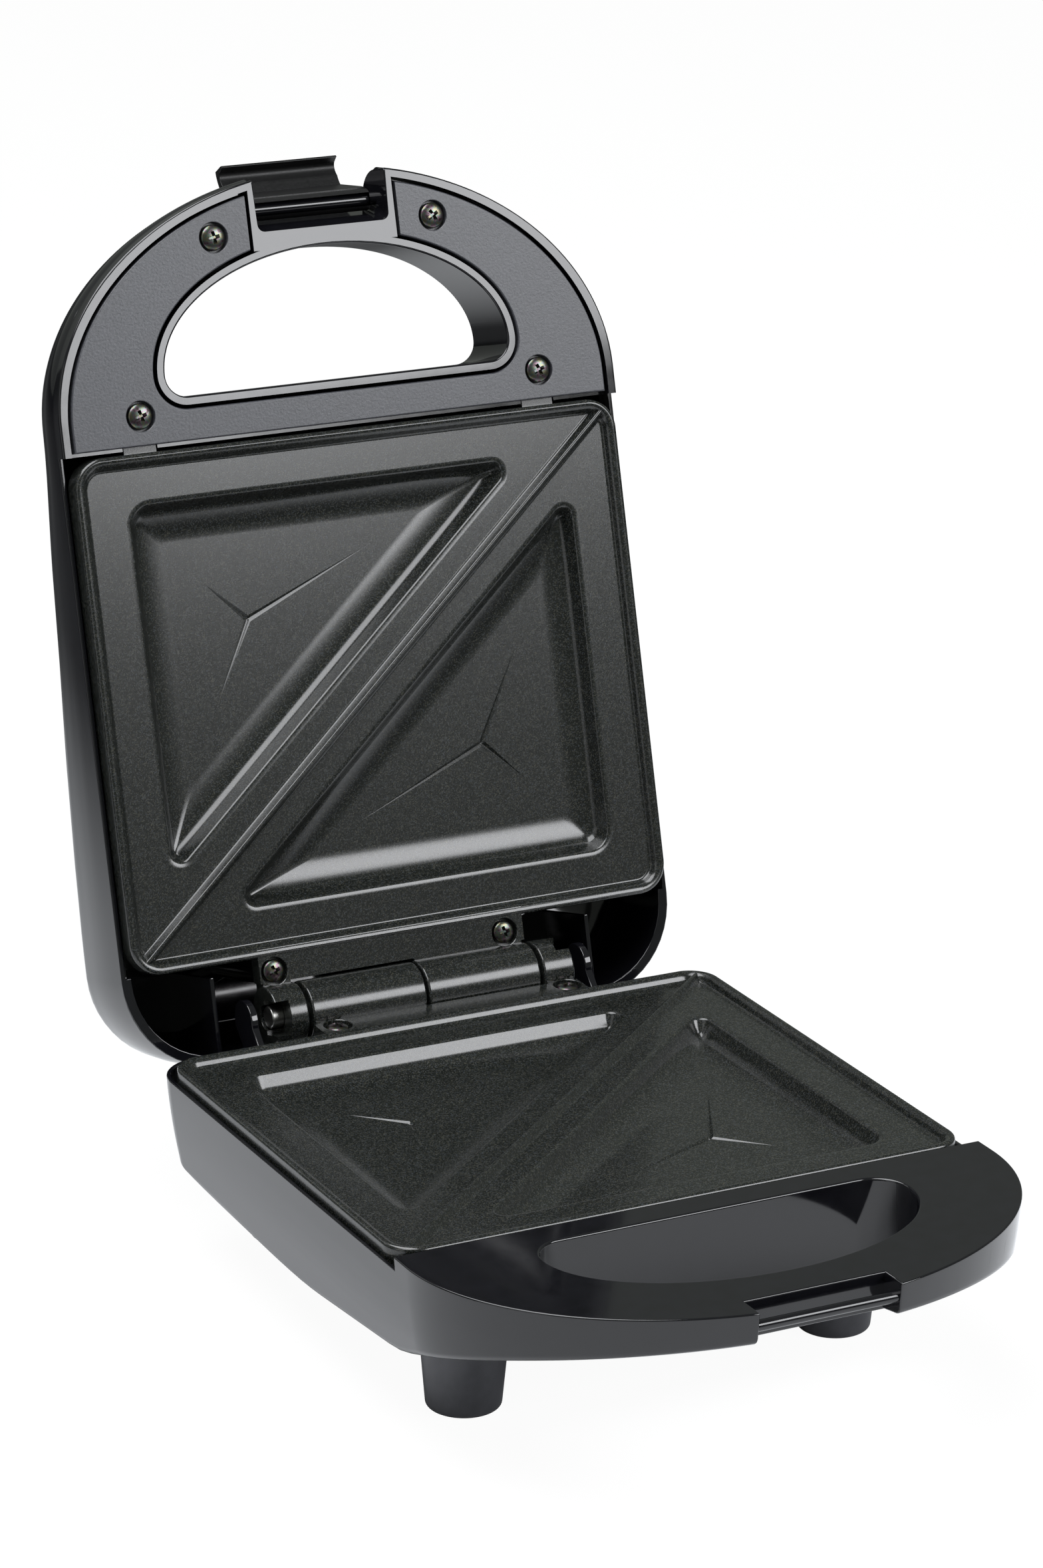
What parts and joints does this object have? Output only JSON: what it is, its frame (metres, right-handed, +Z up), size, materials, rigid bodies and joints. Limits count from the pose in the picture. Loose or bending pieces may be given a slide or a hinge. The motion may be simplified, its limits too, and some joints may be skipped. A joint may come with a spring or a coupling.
{
  "type": "sandwich maker",
  "caption": "Compact hinged sandwich maker, standing open: two ribbed non-stick plates in glossy black shells with a half-moon hand hole in each handle, a hook latch and round feet.",
  "frame": {"origin": "on the ground, at the middle of the box round the whole object as it stands open", "axes": "+X to the object's right seen from its handle side, +Y from the handle to the hinge, +Z up"},
  "size_m": [0.1288, 0.2426, 0.2072],
  "materials": {
    "gloss_shell": "injection-moulded, mirror-polished black",
    "matte_cover": "injection-moulded with a fine spark-eroded texture, dark grey",
    "satin_black": "injection-moulded, satin black",
    "coated_casting": "die-cast, sprayed with a dark grey non-stick coating with fine mica flake",
    "dark_screw": "yellow-black chromated steel",
    "plain_steel": "zinc-plated or bare steel",
    "pale_insulator": "pale ceramic and nylon insulators",
    "red_lens": "translucent red polycarbonate",
    "green_lens": "translucent green polycarbonate",
    "lamp_glass": "small neon lamps"
  },
  "bodies": {
    "base": {"base_shell": "gloss_shell", "front_left_foot": "satin_black", "front_right_foot": "satin_black", "rear_left_foot": "satin_black", "rear_right_foot": "satin_black", "lower_plate": "coated_casting", "lower_plate_screw_left": "dark_screw", "lower_plate_screw_right": "dark_screw", "right_hinge_pin": "plain_steel", "lower_heating_element": "plain_steel", "lower_reflector": "plain_steel", "lower_reflector_screw_rear": "plain_steel", "lower_reflector_screw_front": "plain_steel", "thermostat": "pale_insulator", "thermostat_strap": "plain_steel", "terminal_block": "pale_insulator", "cord_gland": "satin_black", "cord_gland_nut": "satin_black"},
    "lid": {"lid_shell": "gloss_shell", "lid_handle_cover": "matte_cover", "cover_screw_front_left": "dark_screw", "cover_screw_front_right": "dark_screw", "cover_screw_rear_left": "dark_screw", "cover_screw_rear_right": "dark_screw", "upper_plate": "coated_casting", "upper_plate_screw_right": "dark_screw", "upper_plate_screw_left": "dark_screw", "left_hinge_pin": "plain_steel", "upper_heating_element": "plain_steel", "upper_reflector": "plain_steel", "upper_reflector_screw_rear": "plain_steel", "upper_reflector_screw_front": "plain_steel", "thermal_fuse": "pale_insulator", "fuse_clip": "plain_steel", "power_lamp_lens": "red_lens", "power_lamp": "lamp_glass", "ready_lamp_lens": "green_lens", "ready_lamp": "lamp_glass"},
    "latch": {"latch": "satin_black"}
  },
  "joints": [
    {"name": "lid_hinge", "type": "hinge", "parent": "base", "child": "lid", "pos_m": [0, 0.05123, 0.0413], "axis": [1, 0, 0], "range_deg": [0, 105.5]},
    {"name": "latch_pivot", "type": "hinge", "parent": "lid", "child": "latch", "pos_m": [0, 0.10344, 0.19962], "axis": [1, 0, 0], "range_deg": [-15, 124]}
  ]
}
